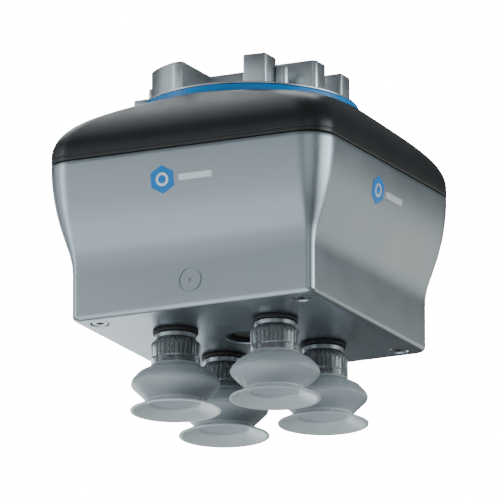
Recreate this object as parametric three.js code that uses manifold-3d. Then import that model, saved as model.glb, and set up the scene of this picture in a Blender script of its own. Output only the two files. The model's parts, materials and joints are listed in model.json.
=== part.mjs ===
// Electric vacuum gripper for a robot arm: a square housing with four bellows suction cups below it and the
// tool half of a quick changer on top. Two diaphragm pump heads on one brushless motor draw the vacuum, and
// two solenoid valves switch it between two pairs of cups, channel A at the front and channel B at the back.
//
// Millimetres. +Z is the tool axis, pointing at the robot. Z = 0 is the flat face that meets the robot's half
// of the changer. -Y is the front, the side of channel A.
import * as THREE from "three";
import { mergeVertices } from "three/addons/utils/BufferGeometryUtils.js";
import Module from "manifold-3d";

const wasm = await Module();
wasm.setup();

// ---------- Driving dimensions ----------

const GAP = 0.3; // clearance between neighbouring solids
const SCREW_HOLE = 1.8; // clearance radius for the 3 mm screws
const SCREW_SHANK = 1.5;

// Housing
const HOUSING_HALF = 50; // half width at the seam
const BASE_HALF = 42.95; // half width of the straight lower part
const SEAM_CORNER = 10; // plan corner radius at the seam
const BASE_CORNER = 2.6; // plan corner radius of the straight lower part
const SEAM_Z = -24.4; // joint between housing and cover
const BASE_Z = -75.6; // underside of the housing
const BASE_ROUND = 1.7; // rounding of the bottom edge
const WALL = 2.5;
const BASE_THICK = 4;

// Side profile: a convex arc below the seam, a short slope, a concave arc, then a straight wall.
const CONVEX_RADIUS = 68.3;
const CONVEX_HEIGHT = 22;
const SLOPE_HEIGHT = 6;
const CONCAVE_RADIUS = 24.8;
const CONCAVE_HEIGHT = 8;

// Cover
const COVER_WALL = 3;
const BAND_HEIGHT = 3; // upright band above the seam
const COVER_TOP_Z = -3.65;
const COVER_TOP_RADIUS = 37.9;
const CORNER_GROWTH = 4.8; // how late the plan turns from rounded square to circle
const GASKET_OUTER = 49; // half widths of the gasket frame
const GASKET_INNER = 48;
const GASKET_HEIGHT = 1;

// Quick changer
const CHANGER_BOTTOM_Z = -3.35;
const CHANGER_RADIUS = 34;
const CHANGER_FLANGE_RADIUS = 35.1;
const CHANGER_FLANGE = 0.55;
const ACCENT_INNER = 34.3;
const ACCENT_OUTER = 35.5;
const ACCENT_BOTTOM_Z = -3.35;
const ACCENT_TOP_Z = -0.85;
const DOG_FOOT_Z = -0.3; // the dogs start inside the disc
const DOG_HEIGHT = 10;
const DOG_RADIUS = 32.7;
const DOG_INNER = 25.5; // inner radius of the two dogs at the back
const CHANGER_SCREW_CIRCLE = 24.5;
const CONTACT_Y = 7; // centre of the electrical contacts
const CONTACT_PITCH = 2.9;
const CONTACTS = 8;
const CONTACT_BLOCK = { halfX: 13.1, halfY: 4.5, top: 3 };
const CONTACT_BOARD = { halfX: 14.5, halfY: 6.5, thick: 1.2 };
const CONTACT_PIN = { radius: 0.6, hole: 0.95, top: 3.4 };

// Outlines of the dogs that stand on the changer's face
const CROSS_WALL = [[-24.3, -10.6], [16, -10.6], [16, -6.6], [-24.3, -6.6]];
const RIGHT_DOG = [[14.5, -13.8], [29, -13.8], [30.2, -12.6], [30.2, -6.2], [14.5, -6.2]];
const RIGHT_LATCH = [[24.2, 4.4], [30.6, 4.4], [30.6, 11.2], [24.2, 11.2]];
const FRONT_DOG = [[11.6, -29.1], [19.5, -28.5], [19.5, -20.2], [11.6, -20.2]];
const FRONT_STEP = [[15, -20.4], [18, -20.4], [18, -13.6], [15, -13.6]];
const LEFT_DOG = [[-33.6, -5.6], [-29.4, -5.6], [-29.4, 9.4], [-33.6, 9.4]];
const LEFT_HOOK = [[-44, 4.6], [-32, 4.6], [-32, 9.4], [-44, 9.4]];
const HOOK_FOOT_Z = 4.5; // the hook reaches out over the cover
const FLANKED_DOG = { right: -9.2, left: -24.3, back: -10, front: -30.3, leftFoot: -21.8, arc: [222, 248] };
const REAR_DOGS = [[35, 68], [112, 146]]; // degrees round the rim
const GUIDE_PIN = { x: 21.1, y: -19.6, radius: 2.2, top: 7 };

// Chassis
const BRIDGE_TOP_Z = -19;
const BRIDGE_THICK = 3;
const BRIDGE_HALF = 43.5;
const BOARD_HALF = 31;
const BOARD_THICK = 1.6;
const TOWER_OUTER = 28;
const TOWER_INNER = 20.5;
const LEG_RADIUS = 4;
const CORNER_HOLE = 35.7; // plan position of the four corner screws
const CORNER_HOLE_RADIUS = 3;

// Cup stations
const CUP_CIRCLE = 50; // pitch circle of the four cups
const CUP_OFFSET = CUP_CIRCLE / 2 / Math.SQRT2;
const CUP_SEGMENTS = 20;
const FITTING = { bore: 2.4, nipple: 5.5, flange: 6.6, stud: 4.85, top: 9, seat: -1.55 };
const WASHER_RADIUS = 7.35;
const LIP_DEPTH = 26.5; // lip plane below the housing
const LIP_RADIUS = 14.6;
const FOLD_RADIUS = 14.45;
const NECK_RADIUS = 8;
const SPLIT_DEPTH = 22.9; // the lip moves as one piece from here down

// Manifold, pump and valves
const MANIFOLD_HALF = 30;
const MANIFOLD_TOP_Z = -60.7;
const GALLERY_Z = -64.5;
const PORT_RADIUS = 5.15;
const PUMP_Z = -40; // height of the motor axis
const PUMP_X = 6; // centre of the pump heads
const HEAD_HALF = 12;
const ECCENTRIC = 1.5;
const ECCENTRIC_RADIUS = 3;
const HEAD_END_Y = 26; // outer face of a pump head
const HEAD_NIPPLE_Y = 30;
const HEAD_PORT = 5; // the inlet and outlet of a head, either side of its middle
const DIAPHRAGM_Y = 15.8;
const DIAPHRAGM_THICK = 1.2;
const VALVE_X = 27;
const VALVE_TOP_Z = -36;

// ---------- Solids and geometry ----------

// A closed three.js geometry as a solid for cutting and joining.
function solid(geometry) {
  const bare = geometry.index ? geometry.toNonIndexed() : geometry.clone();
  bare.deleteAttribute("normal");
  bare.deleteAttribute("uv");
  const merged = mergeVertices(bare, 1e-3);
  return new wasm.Manifold(
    new wasm.Mesh({
      numProp: 3,
      vertProperties: merged.attributes.position.array,
      triVerts: new Uint32Array(merged.index.array),
    }),
  );
}

function geometryOf(body) {
  const mesh = body.getMesh();
  const geometry = new THREE.BufferGeometry();
  geometry.setAttribute("position", new THREE.BufferAttribute(new Float32Array(mesh.vertProperties), 3));
  geometry.setIndex(new THREE.BufferAttribute(new Uint32Array(mesh.triVerts), 1));
  return geometry;
}

function cut(base, ...tools) {
  return geometryOf(tools.reduce((body, tool) => body.subtract(solid(tool)), solid(base)));
}

function join(first, ...others) {
  return geometryOf(others.reduce((body, other) => body.add(solid(other)), solid(first)));
}

// Turned shape about +Z. The profile is a list of [radius, z] running up the inside and down the outside, or
// from the axis at the bottom, along the outside, to the axis at the top.
function turned(profile, segments = 24) {
  const points = profile.map(([r, z]) => new THREE.Vector2(r, z));
  return new THREE.LatheGeometry(points, segments).rotateX(Math.PI / 2);
}

function ring(inner, outer, low, high, segments = 24) {
  const profile = [[inner, low], [outer, low], [outer, high], [inner, high], [inner, low]];
  return turned(profile, segments);
}

function rod(radius, low, high, segments = 16) {
  return turned([[0, low], [radius, low], [radius, high], [0, high]], segments);
}

// The same round bar along X or Y.
function rodX(radius, low, high, segments = 16) {
  return rod(radius, low, high, segments).rotateY(Math.PI / 2);
}

function rodY(radius, low, high, segments = 16) {
  return rod(radius, -high, -low, segments).rotateX(Math.PI / 2);
}

function block(x0, x1, y0, y1, z0, z1) {
  const geometry = new THREE.BoxGeometry(x1 - x0, y1 - y0, z1 - z0);
  return geometry.translate((x0 + x1) / 2, (y0 + y1) / 2, (z0 + z1) / 2);
}

// A flat outline standing on z = low.
function slab(shape, low, high, curveSegments = 8) {
  const options = { depth: high - low, bevelEnabled: false, curveSegments };
  return new THREE.ExtrudeGeometry(shape, options).translate(0, 0, low);
}

// One level of a loft: a square with round corners, as points counter-clockwise seen from above.
function roundedSquare(half, corner, z, steps = 4) {
  const radius = Math.min(corner, half);
  const points = [];
  for (let quarter = 0; quarter < 4; quarter++) {
    const middle = Math.PI / 4 + (quarter * Math.PI) / 2;
    const centreX = (half - radius) * Math.sign(Math.cos(middle));
    const centreY = (half - radius) * Math.sign(Math.sin(middle));
    for (let i = 0; i <= steps; i++) {
      const angle = (quarter + i / steps) * (Math.PI / 2);
      points.push([centreX + radius * Math.cos(angle), centreY + radius * Math.sin(angle), z]);
    }
  }
  return points;
}

// A closed solid through levels of equal length, lowest first.
function loft(levels) {
  const count = levels[0].length;
  const positions = levels.flat(2);
  const indices = [];
  for (let level = 0; level < levels.length - 1; level++) {
    for (let i = 0; i < count; i++) {
      const a = level * count + i;
      const b = level * count + ((i + 1) % count);
      indices.push(a, b, b + count, a, b + count, a + count);
    }
  }
  const caps = [[0, levels[0][0][2]], [(levels.length - 1) * count, levels.at(-1)[0][2]]];
  caps.forEach(([start, z], top) => {
    const centre = positions.length / 3;
    positions.push(0, 0, z);
    for (let i = 0; i < count; i++) {
      const a = start + i;
      const b = start + ((i + 1) % count);
      indices.push(centre, top ? a : b, top ? b : a);
    }
  });
  const geometry = new THREE.BufferGeometry();
  geometry.setAttribute("position", new THREE.BufferAttribute(new Float32Array(positions), 3));
  geometry.setIndex(indices);
  return geometry;
}

const QUARTERS = [0, 90, 180, 270].map(THREE.MathUtils.degToRad);

function fourCorners(make) {
  return [[-1, -1], [1, -1], [1, 1], [-1, 1]].map(([x, y], index) => make(x, y, index));
}

// ---------- Materials ----------

function material(color, roughness, metalness) {
  return new THREE.MeshStandardMaterial({ color, roughness, metalness });
}

const silver = material(0x9aa3a8, 0.35, 0.9);
const machined = material(0xa9b0b3, 0.3, 1);
const blackPlastic = material(0x1b1d1f, 0.4, 0);
const blackRubber = material(0x101112, 0.8, 0);
const blueAccent = material(0x1b82c8, 0.45, 0);
const silicone = material(0xb4c0c4, 0.5, 0);
const steel = material(0x8a8d90, 0.35, 1);
const brass = material(0xc8a552, 0.35, 1);
const sintered = material(0x777b7c, 0.9, 0.6);
const board = material(0x0e4a2c, 0.5, 0);
const greyPlastic = material(0x4a4e52, 0.5, 0);
const magnet = material(0x55585c, 0.4, 0.8);
const hose = material(0xd5d8d6, 0.4, 0);

const gripper = new THREE.Group();

function add(name, geometry, look) {
  const mesh = new THREE.Mesh(geometry, look);
  mesh.name = name;
  gripper.add(mesh);
  return mesh;
}

// ---------- Housing ----------

// Half width of the side wall, from its drop below the seam.
function sideHalf(drop) {
  const slope = CONVEX_HEIGHT / Math.sqrt(CONVEX_RADIUS ** 2 - CONVEX_HEIGHT ** 2);
  const sag = (radius, height) => radius - Math.sqrt(radius ** 2 - height ** 2);
  const convex = Math.min(drop, CONVEX_HEIGHT);
  const straight = Math.min(Math.max(drop - CONVEX_HEIGHT, 0), SLOPE_HEIGHT);
  const left = Math.max(CONVEX_HEIGHT + SLOPE_HEIGHT + CONCAVE_HEIGHT - drop, 0);
  if (drop <= CONVEX_HEIGHT + SLOPE_HEIGHT) {
    return HOUSING_HALF - sag(CONVEX_RADIUS, convex) - slope * straight;
  }
  return BASE_HALF + sag(CONCAVE_RADIUS, Math.min(left, CONCAVE_HEIGHT));
}

// The plan corners tighten as the walls come in.
function sideCorner(half) {
  const share = (HOUSING_HALF - half) / (HOUSING_HALF - BASE_HALF);
  return SEAM_CORNER + (BASE_CORNER - SEAM_CORNER) * Math.min(share, 1);
}

const OUTSIDE_DROPS = [36, 33.5, 31, 28, 22, 17, 11, 0];
const INSIDE_DROPS = [36, 32, 28, 22, 12, -1];

function housingOutside() {
  const levels = [];
  const roundSteps = 2;
  for (let i = 0; i <= roundSteps; i++) {
    const angle = (i / roundSteps) * (Math.PI / 2);
    const half = BASE_HALF - BASE_ROUND * (1 - Math.sin(angle));
    levels.push(roundedSquare(half, BASE_CORNER, BASE_Z + BASE_ROUND * (1 - Math.cos(angle))));
  }
  for (const drop of OUTSIDE_DROPS) {
    const half = sideHalf(drop);
    levels.push(roundedSquare(half, sideCorner(half), SEAM_Z - drop));
  }
  return loft(levels);
}

function housingInside() {
  const levels = [roundedSquare(BASE_HALF - WALL, 1, BASE_Z + BASE_THICK, 2)];
  for (const drop of INSIDE_DROPS) {
    const half = sideHalf(drop);
    levels.push(roundedSquare(half - WALL, Math.max(sideCorner(half) - WALL, 1), SEAM_Z - drop, 2));
  }
  return loft(levels);
}

const VENT_RADIUS = 7.5;
const VENT_DEPTH = 3.2;
const VENT_HOLE = 4; // radius of the way through the base above the filter
const MARK = { length: 7.4, width: 0.6, depth: 0.4, y: 16 };

function housingShell() {
  const throughBase = (radius, segments) => rod(radius, BASE_Z - 1, BASE_Z + BASE_THICK + 1, segments);
  const ports = fourCorners((x, y) =>
    throughBase(PORT_RADIUS, 14).translate(x * CUP_OFFSET, y * CUP_OFFSET, 0),
  );
  const screwHoles = fourCorners((x, y) =>
    join(
      rod(CORNER_HOLE_RADIUS, BASE_Z - 1, BASE_Z + 2, 12),
      rod(SCREW_HOLE, BASE_Z + 1, BASE_Z + BASE_THICK + 1, 8),
    ).translate(x * CORNER_HOLE, y * CORNER_HOLE, 0),
  );
  const vent = rod(VENT_RADIUS, BASE_Z - 1, BASE_Z + VENT_DEPTH, 20);
  const marks = [-1, 1].map((side) =>
    block(
      -MARK.length / 2,
      MARK.length / 2,
      side * MARK.y - MARK.width / 2,
      side * MARK.y + MARK.width / 2,
      BASE_Z - 1,
      BASE_Z + MARK.depth,
    ),
  );
  const holes = [...ports, ...screwHoles, vent, throughBase(VENT_HOLE, 12)];
  return cut(housingOutside(), housingInside(), ...holes, ...marks);
}

// ---------- Cover ----------

// Levels of the dome between the upright band and the flat top, set in by a wall thickness.
function domeLevels(inset, steps = 7, cornerSteps = 5) {
  const low = new THREE.Vector2(HOUSING_HALF, SEAM_Z + BAND_HEIGHT);
  const high = new THREE.Vector2(COVER_TOP_RADIUS, COVER_TOP_Z);
  const curve = new THREE.CubicBezierCurve(
    low,
    low.clone().add(new THREE.Vector2(0, 7.5)),
    high.clone().add(new THREE.Vector2(5, -5.75)),
    high,
  );
  const levels = [];
  for (let i = 0; i <= steps; i++) {
    const { x: half, y: z } = curve.getPoint(i / steps);
    const corner = half * (0.2 + 0.8 * (i / steps) ** CORNER_GROWTH);
    const lower = (inset * i) / steps;
    levels.push(roundedSquare(half - inset, Math.max(corner - inset, 2), z - lower, cornerSteps));
  }
  return levels;
}

function topCover() {
  const foot = SEAM_Z + GAP;
  const outside = loft([roundedSquare(HOUSING_HALF, SEAM_CORNER, foot, 5), ...domeLevels(0)]);
  const insideHalf = HOUSING_HALF - COVER_WALL;
  const insideFoot = roundedSquare(insideHalf, SEAM_CORNER - COVER_WALL, foot - 1, 3);
  const inside = loft([insideFoot, ...domeLevels(COVER_WALL, 5, 3)]);
  const groove = squareFrame(GASKET_OUTER + GAP, GASKET_INNER - GAP, foot - 1, foot + GASKET_HEIGHT + GAP);
  const hole = rod(TOWER_OUTER + GAP, COVER_TOP_Z - 8, COVER_TOP_Z + 1, 24);
  return cut(outside, inside, groove, hole);
}

// An upright frame that follows the rounded square of the seam.
function squareFrame(outer, inner, low, high) {
  const straight = HOUSING_HALF - SEAM_CORNER;
  const level = (half, z) => roundedSquare(half, half - straight, z);
  const wall = loft([level(outer, low), level(outer, high)]);
  const core = loft([level(inner, low - 1), level(inner, high + 1)]);
  return cut(wall, core);
}

function coverGasket() {
  const foot = SEAM_Z + GAP;
  return squareFrame(GASKET_OUTER, GASKET_INNER, foot, foot + GASKET_HEIGHT);
}

// ---------- Quick changer ----------

function outline(points) {
  return new THREE.Shape(points.map(([x, y]) => new THREE.Vector2(x, y)));
}

// A stretch of the castellated wall that follows the rim of the plate.
function rimSegment(fromDegrees, toDegrees) {
  const from = THREE.MathUtils.degToRad(fromDegrees);
  const to = THREE.MathUtils.degToRad(toDegrees);
  const shape = new THREE.Shape();
  shape.absarc(0, 0, DOG_RADIUS, from, to, false);
  shape.absarc(0, 0, DOG_INNER, to, from, true);
  shape.closePath();
  return slab(shape, DOG_FOOT_Z, DOG_HEIGHT, 5);
}

// The front left dog: round outside, one flat flank facing the front notch.
function flankedDog() {
  const shape = new THREE.Shape();
  const { right, left, back, front, leftFoot, arc } = FLANKED_DOG;
  const [from, to] = arc.map(THREE.MathUtils.degToRad);
  shape.moveTo(right, back);
  shape.lineTo(left, back);
  shape.lineTo(left, leftFoot);
  shape.absarc(0, 0, DOG_RADIUS, from, to, false);
  shape.lineTo(right, front);
  shape.closePath();
  return slab(shape, DOG_FOOT_Z, DOG_HEIGHT, 4);
}

function changerPlate() {
  const disc = turned(
    [
      [0, CHANGER_BOTTOM_Z],
      [CHANGER_RADIUS, CHANGER_BOTTOM_Z],
      [CHANGER_RADIUS, -CHANGER_FLANGE],
      [CHANGER_FLANGE_RADIUS, -CHANGER_FLANGE],
      [CHANGER_FLANGE_RADIUS, 0],
      [0, 0],
    ],
    40,
  );
  const tall = [CROSS_WALL, RIGHT_DOG, RIGHT_LATCH, FRONT_DOG, LEFT_DOG];
  const pin = rod(GUIDE_PIN.radius, DOG_FOOT_Z, GUIDE_PIN.top, 12).translate(GUIDE_PIN.x, GUIDE_PIN.y, 0);
  const dogs = [
    flankedDog(),
    ...tall.map((points) => slab(outline(points), DOG_FOOT_Z, DOG_HEIGHT)),
    slab(outline(FRONT_STEP), DOG_FOOT_Z, DOG_HEIGHT / 2),
    slab(outline(LEFT_HOOK), HOOK_FOOT_Z, DOG_HEIGHT),
    ...REAR_DOGS.map((ends) => rimSegment(...ends)),
    pin,
  ];
  const sink = [[0, -4], [SCREW_HOLE, -4], [SCREW_HOLE, -2.6], [4.05, -0.1], [4.05, 1], [0, 1]];
  const screwHoles = QUARTERS.map((angle) =>
    turned(sink, 12).translate(CHANGER_SCREW_CIRCLE, 0, 0).rotateZ(angle),
  );
  const halfX = CONTACT_BLOCK.halfX + GAP;
  const halfY = CONTACT_BLOCK.halfY + GAP;
  const window = block(-halfX, halfX, CONTACT_Y - halfY, CONTACT_Y + halfY, CHANGER_BOTTOM_Z - 1, 2);
  return cut(join(disc, ...dogs), ...screwHoles, window);
}

const contactXs = Array.from({ length: CONTACTS }, (_, i) => (i - (CONTACTS - 1) / 2) * CONTACT_PITCH);

function contactBlock() {
  const { halfX, halfY, top } = CONTACT_BLOCK;
  const body = block(-halfX, halfX, CONTACT_Y - halfY, CONTACT_Y + halfY, CHANGER_BOTTOM_Z, top);
  return cut(body, ...contactXs.map((x) => rod(CONTACT_PIN.hole, -4, 4, 6).translate(x, CONTACT_Y, 0)));
}

function contactBoard() {
  const { halfX, halfY, thick } = CONTACT_BOARD;
  const top = CHANGER_BOTTOM_Z - GAP;
  const plate = block(-halfX, halfX, CONTACT_Y - halfY, CONTACT_Y + halfY, top - thick, top);
  const pin = (x) => rod(CONTACT_PIN.radius, top - 0.5, CONTACT_PIN.top, 6).translate(x, CONTACT_Y, 0);
  return join(plate, ...contactXs.map(pin));
}

function changerScrew() {
  const shank = [[0, -12], [SCREW_SHANK, -12], [SCREW_SHANK, -2.7]];
  const head = [[3.7, -0.45], [3.7, -0.1], [1.3, -0.1], [1.3, -1.4], [0, -1.4]];
  return turned([...shank, ...head], 12);
}

// ---------- Chassis ----------

function chassis() {
  const low = BRIDGE_TOP_Z - BRIDGE_THICK;
  const plate = loft([roundedSquare(BRIDGE_HALF, 9, low, 4), roundedSquare(BRIDGE_HALF, 9, BRIDGE_TOP_Z, 4)]);
  const tower = rod(TOWER_OUTER, low, COVER_TOP_Z, 24);
  const legs = fourCorners((x, y) =>
    rod(LEG_RADIUS, BASE_Z + BASE_THICK + GAP, low + 1, 10).translate(x * CORNER_HOLE, y * CORNER_HOLE, 0),
  );
  const bosses = fourCorners((x, y) => rod(2.5, low - 1, low + 1, 8).translate(x * 27, y * 27, 0));
  const bore = rod(TOWER_INNER, low - 2, 0, 24);
  const legHoles = fourCorners((x, y) =>
    rod(SCREW_HOLE, BASE_Z, BASE_Z + 18, 8).translate(x * CORNER_HOLE, y * CORNER_HOLE, 0),
  );
  const screwHoles = QUARTERS.map((angle) =>
    rod(SCREW_HOLE, -13, 0, 8).translate(CHANGER_SCREW_CIRCLE, 0, 0).rotateZ(angle),
  );
  return cut(join(plate, tower, ...legs, ...bosses), bore, ...legHoles, ...screwHoles);
}

// M3 socket cap screw, up through the base into a leg.
function tieScrew() {
  const head = BASE_Z + 0.2;
  const profile = [
    [0, head + 1.4],
    [1.35, head + 1.4],
    [1.35, head],
    [2.7, head],
    [2.7, head + 1.5],
    [SCREW_SHANK, head + 1.5],
    [SCREW_SHANK, BASE_Z + 16],
    [0, BASE_Z + 16],
  ];
  return turned(profile, 12);
}

// ---------- Cup stations ----------

// Fitting, from the stud in the manifold to the barb in the cup. Zero is the underside of the housing.
function fitting() {
  const { bore, nipple, flange, stud, top, seat } = FITTING;
  const profile = [
    [bore, top],
    [bore, -11.3],
    [6.1, -11.3],
    [6.6, -10.3],
    [nipple, -9.2],
    [nipple, -3],
    [flange, -3],
    [flange, seat],
    [stud, seat],
    [stud, top],
    [bore, top],
  ];
  return turned(profile, 16);
}

function sealWasher() {
  return ring(FITTING.stud + GAP, WASHER_RADIUS, FITTING.seat + GAP - 0.05, -GAP / 2, 16);
}

function filterDisc() {
  return rod(4.6, FITTING.top + GAP, FITTING.top + 1.8, 12);
}

// Neck and fold of the moulded cup, down to the split above the waist.
function cupBellows() {
  const profile = [
    [5.8, -3.4],
    [5.8, -8.9],
    [6.95, -9.6],
    [7.1, -12.3],
    [11.8, -15.4],
    [13.2, -17.6],
    [8.55, -SPLIT_DEPTH],
    [9.75, -SPLIT_DEPTH],
    [FOLD_RADIUS, -18.2],
    [FOLD_RADIUS, -17.1],
    [12.2, -14.4],
    [NECK_RADIUS, -12],
    [NECK_RADIUS, -4.6],
    [6.8, -3.4],
    [5.8, -3.4],
  ];
  return turned(profile, CUP_SEGMENTS);
}

// Waist and sealing lip.
function cupLip() {
  const top = SPLIT_DEPTH + GAP;
  const profile = [
    [8.2, -top],
    [7.75, -23.8],
    [8.05, -24.4],
    [13.7, -LIP_DEPTH],
    [LIP_RADIUS, -LIP_DEPTH],
    [LIP_RADIUS, -26.1],
    [9.2, -23.9],
    [9.4, -top],
    [8.2, -top],
  ];
  return turned(profile, CUP_SEGMENTS);
}

function ventInsert() {
  return ring(6.3, VENT_RADIUS - GAP, BASE_Z + 0.2, BASE_Z + VENT_DEPTH - GAP, 20);
}

function ventFilter() {
  return rod(6, BASE_Z + 1.9, BASE_Z + VENT_DEPTH - GAP, 16);
}

// ---------- Manifold, motor, pump and valves ----------

function manifoldBlock() {
  const low = BASE_Z + BASE_THICK + GAP;
  const cornered = MANIFOLD_HALF - 5;
  const corners = fourCorners((x, y) => {
    const ends = [[x * cornered, y * MANIFOLD_HALF], [x * MANIFOLD_HALF, y * cornered]];
    return x * y > 0 ? ends.reverse() : ends;
  });
  const shape = outline(corners.flat());
  const ports = fourCorners((x, y) =>
    rod(PORT_RADIUS, low - 1, GALLERY_Z + 0.8, 12).translate(x * CUP_OFFSET, y * CUP_OFFSET, 0),
  );
  const galleries = [-1, 1].map((side) =>
    join(
      rodX(2, -CUP_OFFSET, VALVE_X, 8).translate(0, side * CUP_OFFSET, GALLERY_Z),
      rod(1.2, GALLERY_Z, MANIFOLD_TOP_Z + 1, 8).translate(VALVE_X - 1, side * CUP_OFFSET, 0),
    ),
  );
  const exhaust = rod(VENT_RADIUS, low - 1, MANIFOLD_TOP_Z + 1, 16);
  return cut(slab(shape, low, MANIFOLD_TOP_Z), ...ports, ...galleries, exhaust);
}

function mainBoard() {
  const top = BRIDGE_TOP_Z - BRIDGE_THICK - 1 - GAP;
  const bottom = top - BOARD_THICK;
  const chips = [
    block(-24, -14, -27, -17, bottom - 1.5, bottom + 0.5),
    block(-8, 0, -26, -20, bottom - 1.5, bottom + 0.5),
    block(16, 24, 17, 27, bottom - 1.5, bottom + 0.5),
    block(-22, -12, 18, 26, bottom - 1.5, bottom + 0.5),
  ];
  return join(block(-BOARD_HALF, BOARD_HALF, -BOARD_HALF, BOARD_HALF, bottom, top), ...chips);
}

const MOTOR_REAR = -34;
const MOTOR_FRONT = PUMP_X - HEAD_HALF - GAP;
const MOTOR_RADIUS = 14;
const MOTOR_BORE = 11.3;
const MOTOR_SHIELD = 2.6; // thickness of the two end shields
const MAGNET_RADIUS = 10.6;
const BEARING_SEAT = 4.2;

function motorHousing() {
  const profile = [
    [BEARING_SEAT, MOTOR_REAR],
    [MOTOR_RADIUS - 1, MOTOR_REAR],
    [MOTOR_RADIUS, MOTOR_REAR + 1],
    [MOTOR_RADIUS, MOTOR_FRONT],
    [BEARING_SEAT, MOTOR_FRONT],
    [BEARING_SEAT, MOTOR_FRONT - MOTOR_SHIELD],
    [MOTOR_BORE, MOTOR_FRONT - MOTOR_SHIELD],
    [MOTOR_BORE, MOTOR_REAR + MOTOR_SHIELD],
    [BEARING_SEAT, MOTOR_REAR + MOTOR_SHIELD],
    [BEARING_SEAT, MOTOR_REAR],
  ];
  return turned(profile, 20).rotateY(Math.PI / 2).translate(0, 0, PUMP_Z);
}

// Magnet, shaft and eccentric in one turning piece. At rest the eccentric points up.
function motorRotor() {
  const turnedPart = turned(
    [
      [0, -33.6],
      [1.5, -33.6],
      [1.5, -30.6],
      [MAGNET_RADIUS, -30.6],
      [MAGNET_RADIUS, -11.4],
      [1.5, -11.4],
      [1.5, 2.4],
      [0, 2.4],
    ],
    16,
  ).rotateY(Math.PI / 2);
  const eccentric = rodX(ECCENTRIC_RADIUS, 1.4, 10.6, 14).translate(0, 0, ECCENTRIC);
  return join(turnedPart, eccentric).translate(0, 0, PUMP_Z);
}

function bearing(low) {
  return ring(1.8, BEARING_SEAT - GAP, low, low + 2.4, 12).rotateY(Math.PI / 2).translate(0, 0, PUMP_Z);
}

function crankHousing() {
  const reach = DIAPHRAGM_Y - GAP;
  const low = PUMP_Z - HEAD_HALF;
  const high = PUMP_Z + HEAD_HALF;
  const body = block(PUMP_X - HEAD_HALF, PUMP_X + HEAD_HALF, -reach, reach, low, high);
  const foot = block(PUMP_X - 10, PUMP_X + 10, -8, 8, MANIFOLD_TOP_Z + GAP, low + 1);
  const bore = rodY(9.6, -reach - 1, reach + 1, 18).translate(PUMP_X, 0, PUMP_Z);
  const shaftHole = rodX(2.4, PUMP_X - HEAD_HALF - 1, PUMP_X, 12).translate(0, 0, PUMP_Z);
  return cut(join(body, foot), bore, shaftHole);
}

// Connecting rod from the eccentric to the centre of a diaphragm. side is -1 for the front head.
function pumpRod(side, x0, x1) {
  const big = ring(ECCENTRIC_RADIUS + GAP, 5.6, x0, x1, 14).rotateY(Math.PI / 2);
  const near = side * 4.6;
  const far = side * 12;
  const beam = block(x0, x1, Math.min(near, far), Math.max(near, far), -2, 2);
  const piston = rodY(6.6, Math.min(side * 11.6, side * 13.8), Math.max(side * 11.6, side * 13.8), 14);
  return join(big, beam, piston.translate(PUMP_X, 0, 0)).translate(0, 0, PUMP_Z + ECCENTRIC);
}

// Rubber disc with a moulded ripple, clamped at its rim.
function pumpDiaphragm(side) {
  const top = DIAPHRAGM_THICK;
  const under = [[0, 0], [6, 0], [7.6, -0.9], [9.2, 0]];
  const over = [[11.5, 0], [11.5, top], [9, top], [7.6, 0.3], [6.2, top], [0, top]];
  const disc = turned([...under, ...over], 16).rotateX(side * -Math.PI / 2);
  return disc.translate(PUMP_X, side * DIAPHRAGM_Y, PUMP_Z);
}

function pumpHead(side) {
  const near = DIAPHRAGM_Y + DIAPHRAGM_THICK + GAP;
  const low = PUMP_Z - HEAD_HALF;
  const high = PUMP_Z + HEAD_HALF;
  const body = block(PUMP_X - HEAD_HALF, PUMP_X + HEAD_HALF, near, HEAD_END_Y, low, high);
  const portXs = [PUMP_X - HEAD_PORT, PUMP_X + HEAD_PORT];
  const nipples = portXs.map((x) => rodY(2, HEAD_END_Y - 1, HEAD_NIPPLE_Y, 10).translate(x, 0, PUMP_Z));
  const chamber = rodY(9, near - 1, near + 1.6, 16).translate(PUMP_X, 0, PUMP_Z);
  const bores = portXs.map((x) => rodY(1, near, HEAD_NIPPLE_Y + 1, 6).translate(x, 0, PUMP_Z));
  const head = cut(join(body, ...nipples), chamber, ...bores);
  return side > 0 ? head : head.rotateZ(Math.PI).translate(2 * PUMP_X, 0, 0);
}

const VALVE_HALF = 7;
const VALVE_BORE = 3.3;

function valveBody(side) {
  const y = side * CUP_OFFSET;
  const low = MANIFOLD_TOP_Z + GAP;
  const half = VALVE_HALF;
  const body = block(VALVE_X - half, VALVE_X + half, y - half, y + half, low, VALVE_TOP_Z);
  const nipple = rod(2, VALVE_TOP_Z - 1, VALVE_TOP_Z + 4, 10).translate(VALVE_X, y, 0);
  const bore = rod(VALVE_BORE, low - 1, VALVE_TOP_Z - 4.4, 12).translate(VALVE_X, y, 0);
  const outlet = rod(1, VALVE_TOP_Z - 6, VALVE_TOP_Z + 5, 6).translate(VALVE_X, y, 0);
  return cut(join(body, nipple), bore, outlet);
}

function valvePlunger(side) {
  return rod(2.9, MANIFOLD_TOP_Z + 2 * GAP, -49, 12).translate(VALVE_X, side * CUP_OFFSET, 0);
}

class Helix extends THREE.Curve {
  constructor(radius, turns, low, high) {
    super();
    Object.assign(this, { radius, turns, low, high });
  }
  getPoint(share, target = new THREE.Vector3()) {
    const angle = share * this.turns * 2 * Math.PI;
    const z = this.low + (this.high - this.low) * share;
    return target.set(this.radius * Math.cos(angle), this.radius * Math.sin(angle), z);
  }
}

function roundSection(radius, sides) {
  const shape = new THREE.Shape();
  for (let i = 0; i < sides; i++) {
    const angle = (i / sides) * 2 * Math.PI;
    const at = [radius * Math.cos(angle), radius * Math.sin(angle)];
    if (i) shape.lineTo(...at);
    else shape.moveTo(...at);
  }
  shape.closePath();
  return shape;
}

function swept(curve, radius, sides, steps) {
  const options = { steps, extrudePath: curve, bevelEnabled: false };
  return new THREE.ExtrudeGeometry(roundSection(radius, sides), options);
}

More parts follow.
